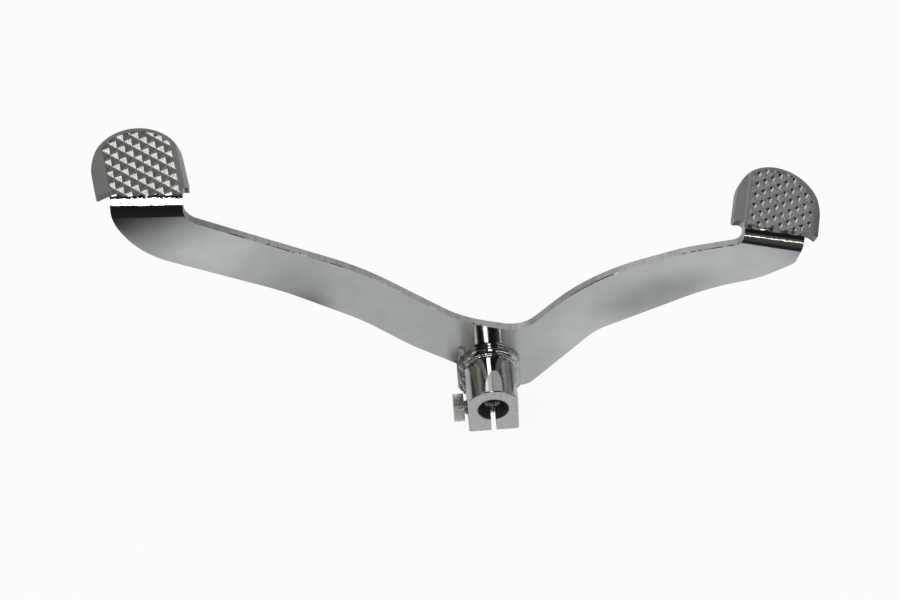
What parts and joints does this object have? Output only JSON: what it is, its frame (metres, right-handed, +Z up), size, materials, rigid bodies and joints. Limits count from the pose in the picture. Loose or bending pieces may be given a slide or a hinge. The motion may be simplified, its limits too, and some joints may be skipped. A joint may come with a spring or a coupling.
{
  "type": "gear shift lever",
  "caption": "Chromed heel-and-toe gear shift lever with knurled foot pads and a split clamp boss for a serrated shaft.",
  "frame": {"origin": "on the shaft's axis, in the plate's face that the clamp boss is welded to", "axes": "-Y along the shaft's axis, out of the boss's mouth; +X along the arms, towards the shorter arm; +Z up; the foot pads point along +Y"},
  "size_m": [0.2558, 0.0527, 0.1202],
  "materials": {
    "chrome_plate": "polished",
    "chrome_weld": "plated weld, uneven",
    "zinc_bolt": "zinc plated, dull"
  },
  "bodies": {
    "root": {"lever_arm": "chrome_plate", "clamp_boss": "chrome_plate", "weld_bead": "chrome_weld", "pinch_bolt": "zinc_bolt"}
  },
  "joints": []
}
